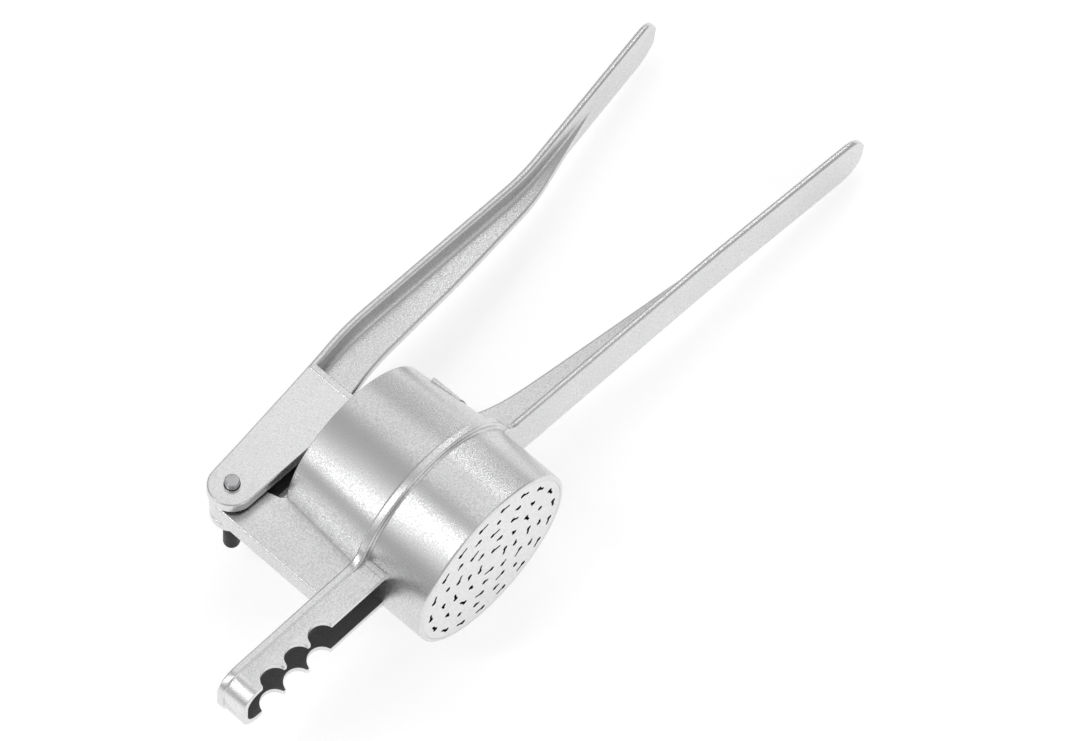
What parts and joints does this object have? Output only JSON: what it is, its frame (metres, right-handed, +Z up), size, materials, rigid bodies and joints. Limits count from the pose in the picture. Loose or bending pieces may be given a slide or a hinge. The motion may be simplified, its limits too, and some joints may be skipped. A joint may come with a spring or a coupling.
{
  "type": "potato ricer",
  "caption": "Cast metal potato ricer lying on its side: perforated cup with a T-section handle and notched pot rest, and a hinged lever with a round plunger.",
  "frame": {"origin": "centre of the footprint, on the surface the ricer lies on", "axes": "+X from the pot rest to the handle tips, -Y out of the perforated end, +Z up"},
  "size_m": [0.3938, 0.1374, 0.0928],
  "materials": {
    "cast_aluminium": "tumbled die casting, fine satin grain",
    "pressed_aluminium": "pressed sheet, satin",
    "plunger_aluminium": "satin casting",
    "pin_steel": "bright turned steel",
    "black_plastic": "semi-matt black"
  },
  "bodies": {
    "body": {"body_casting": "cast_aluminium", "perforated_disc": "pressed_aluminium"},
    "lever": {"lever_casting": "cast_aluminium", "hinge_pin": "pin_steel", "hinge_pin_grip": "black_plastic", "plunger_pin": "pin_steel"},
    "plunger": {"plunger_plate": "plunger_aluminium", "plunger_stem": "plunger_aluminium", "plunger_screw": "pin_steel"}
  },
  "joints": [
    {"name": "lever_hinge", "type": "hinge", "parent": "body", "child": "lever", "pos_m": [-0.12747, 0.02769, 0.05332], "axis": [0.1262, 0, 0.992], "range_deg": [-6, 90]},
    {"name": "plunger_swing", "type": "hinge", "parent": "lever", "child": "plunger", "pos_m": [-0.07687, 0.02829, 0.04689], "axis": [0.1262, 0, 0.992], "range_deg": [-57.7, 3.9]}
  ],
  "couplings": [
    {"joint": "plunger_swing", "follows": "lever_hinge", "ratio": -0.64}
  ]
}
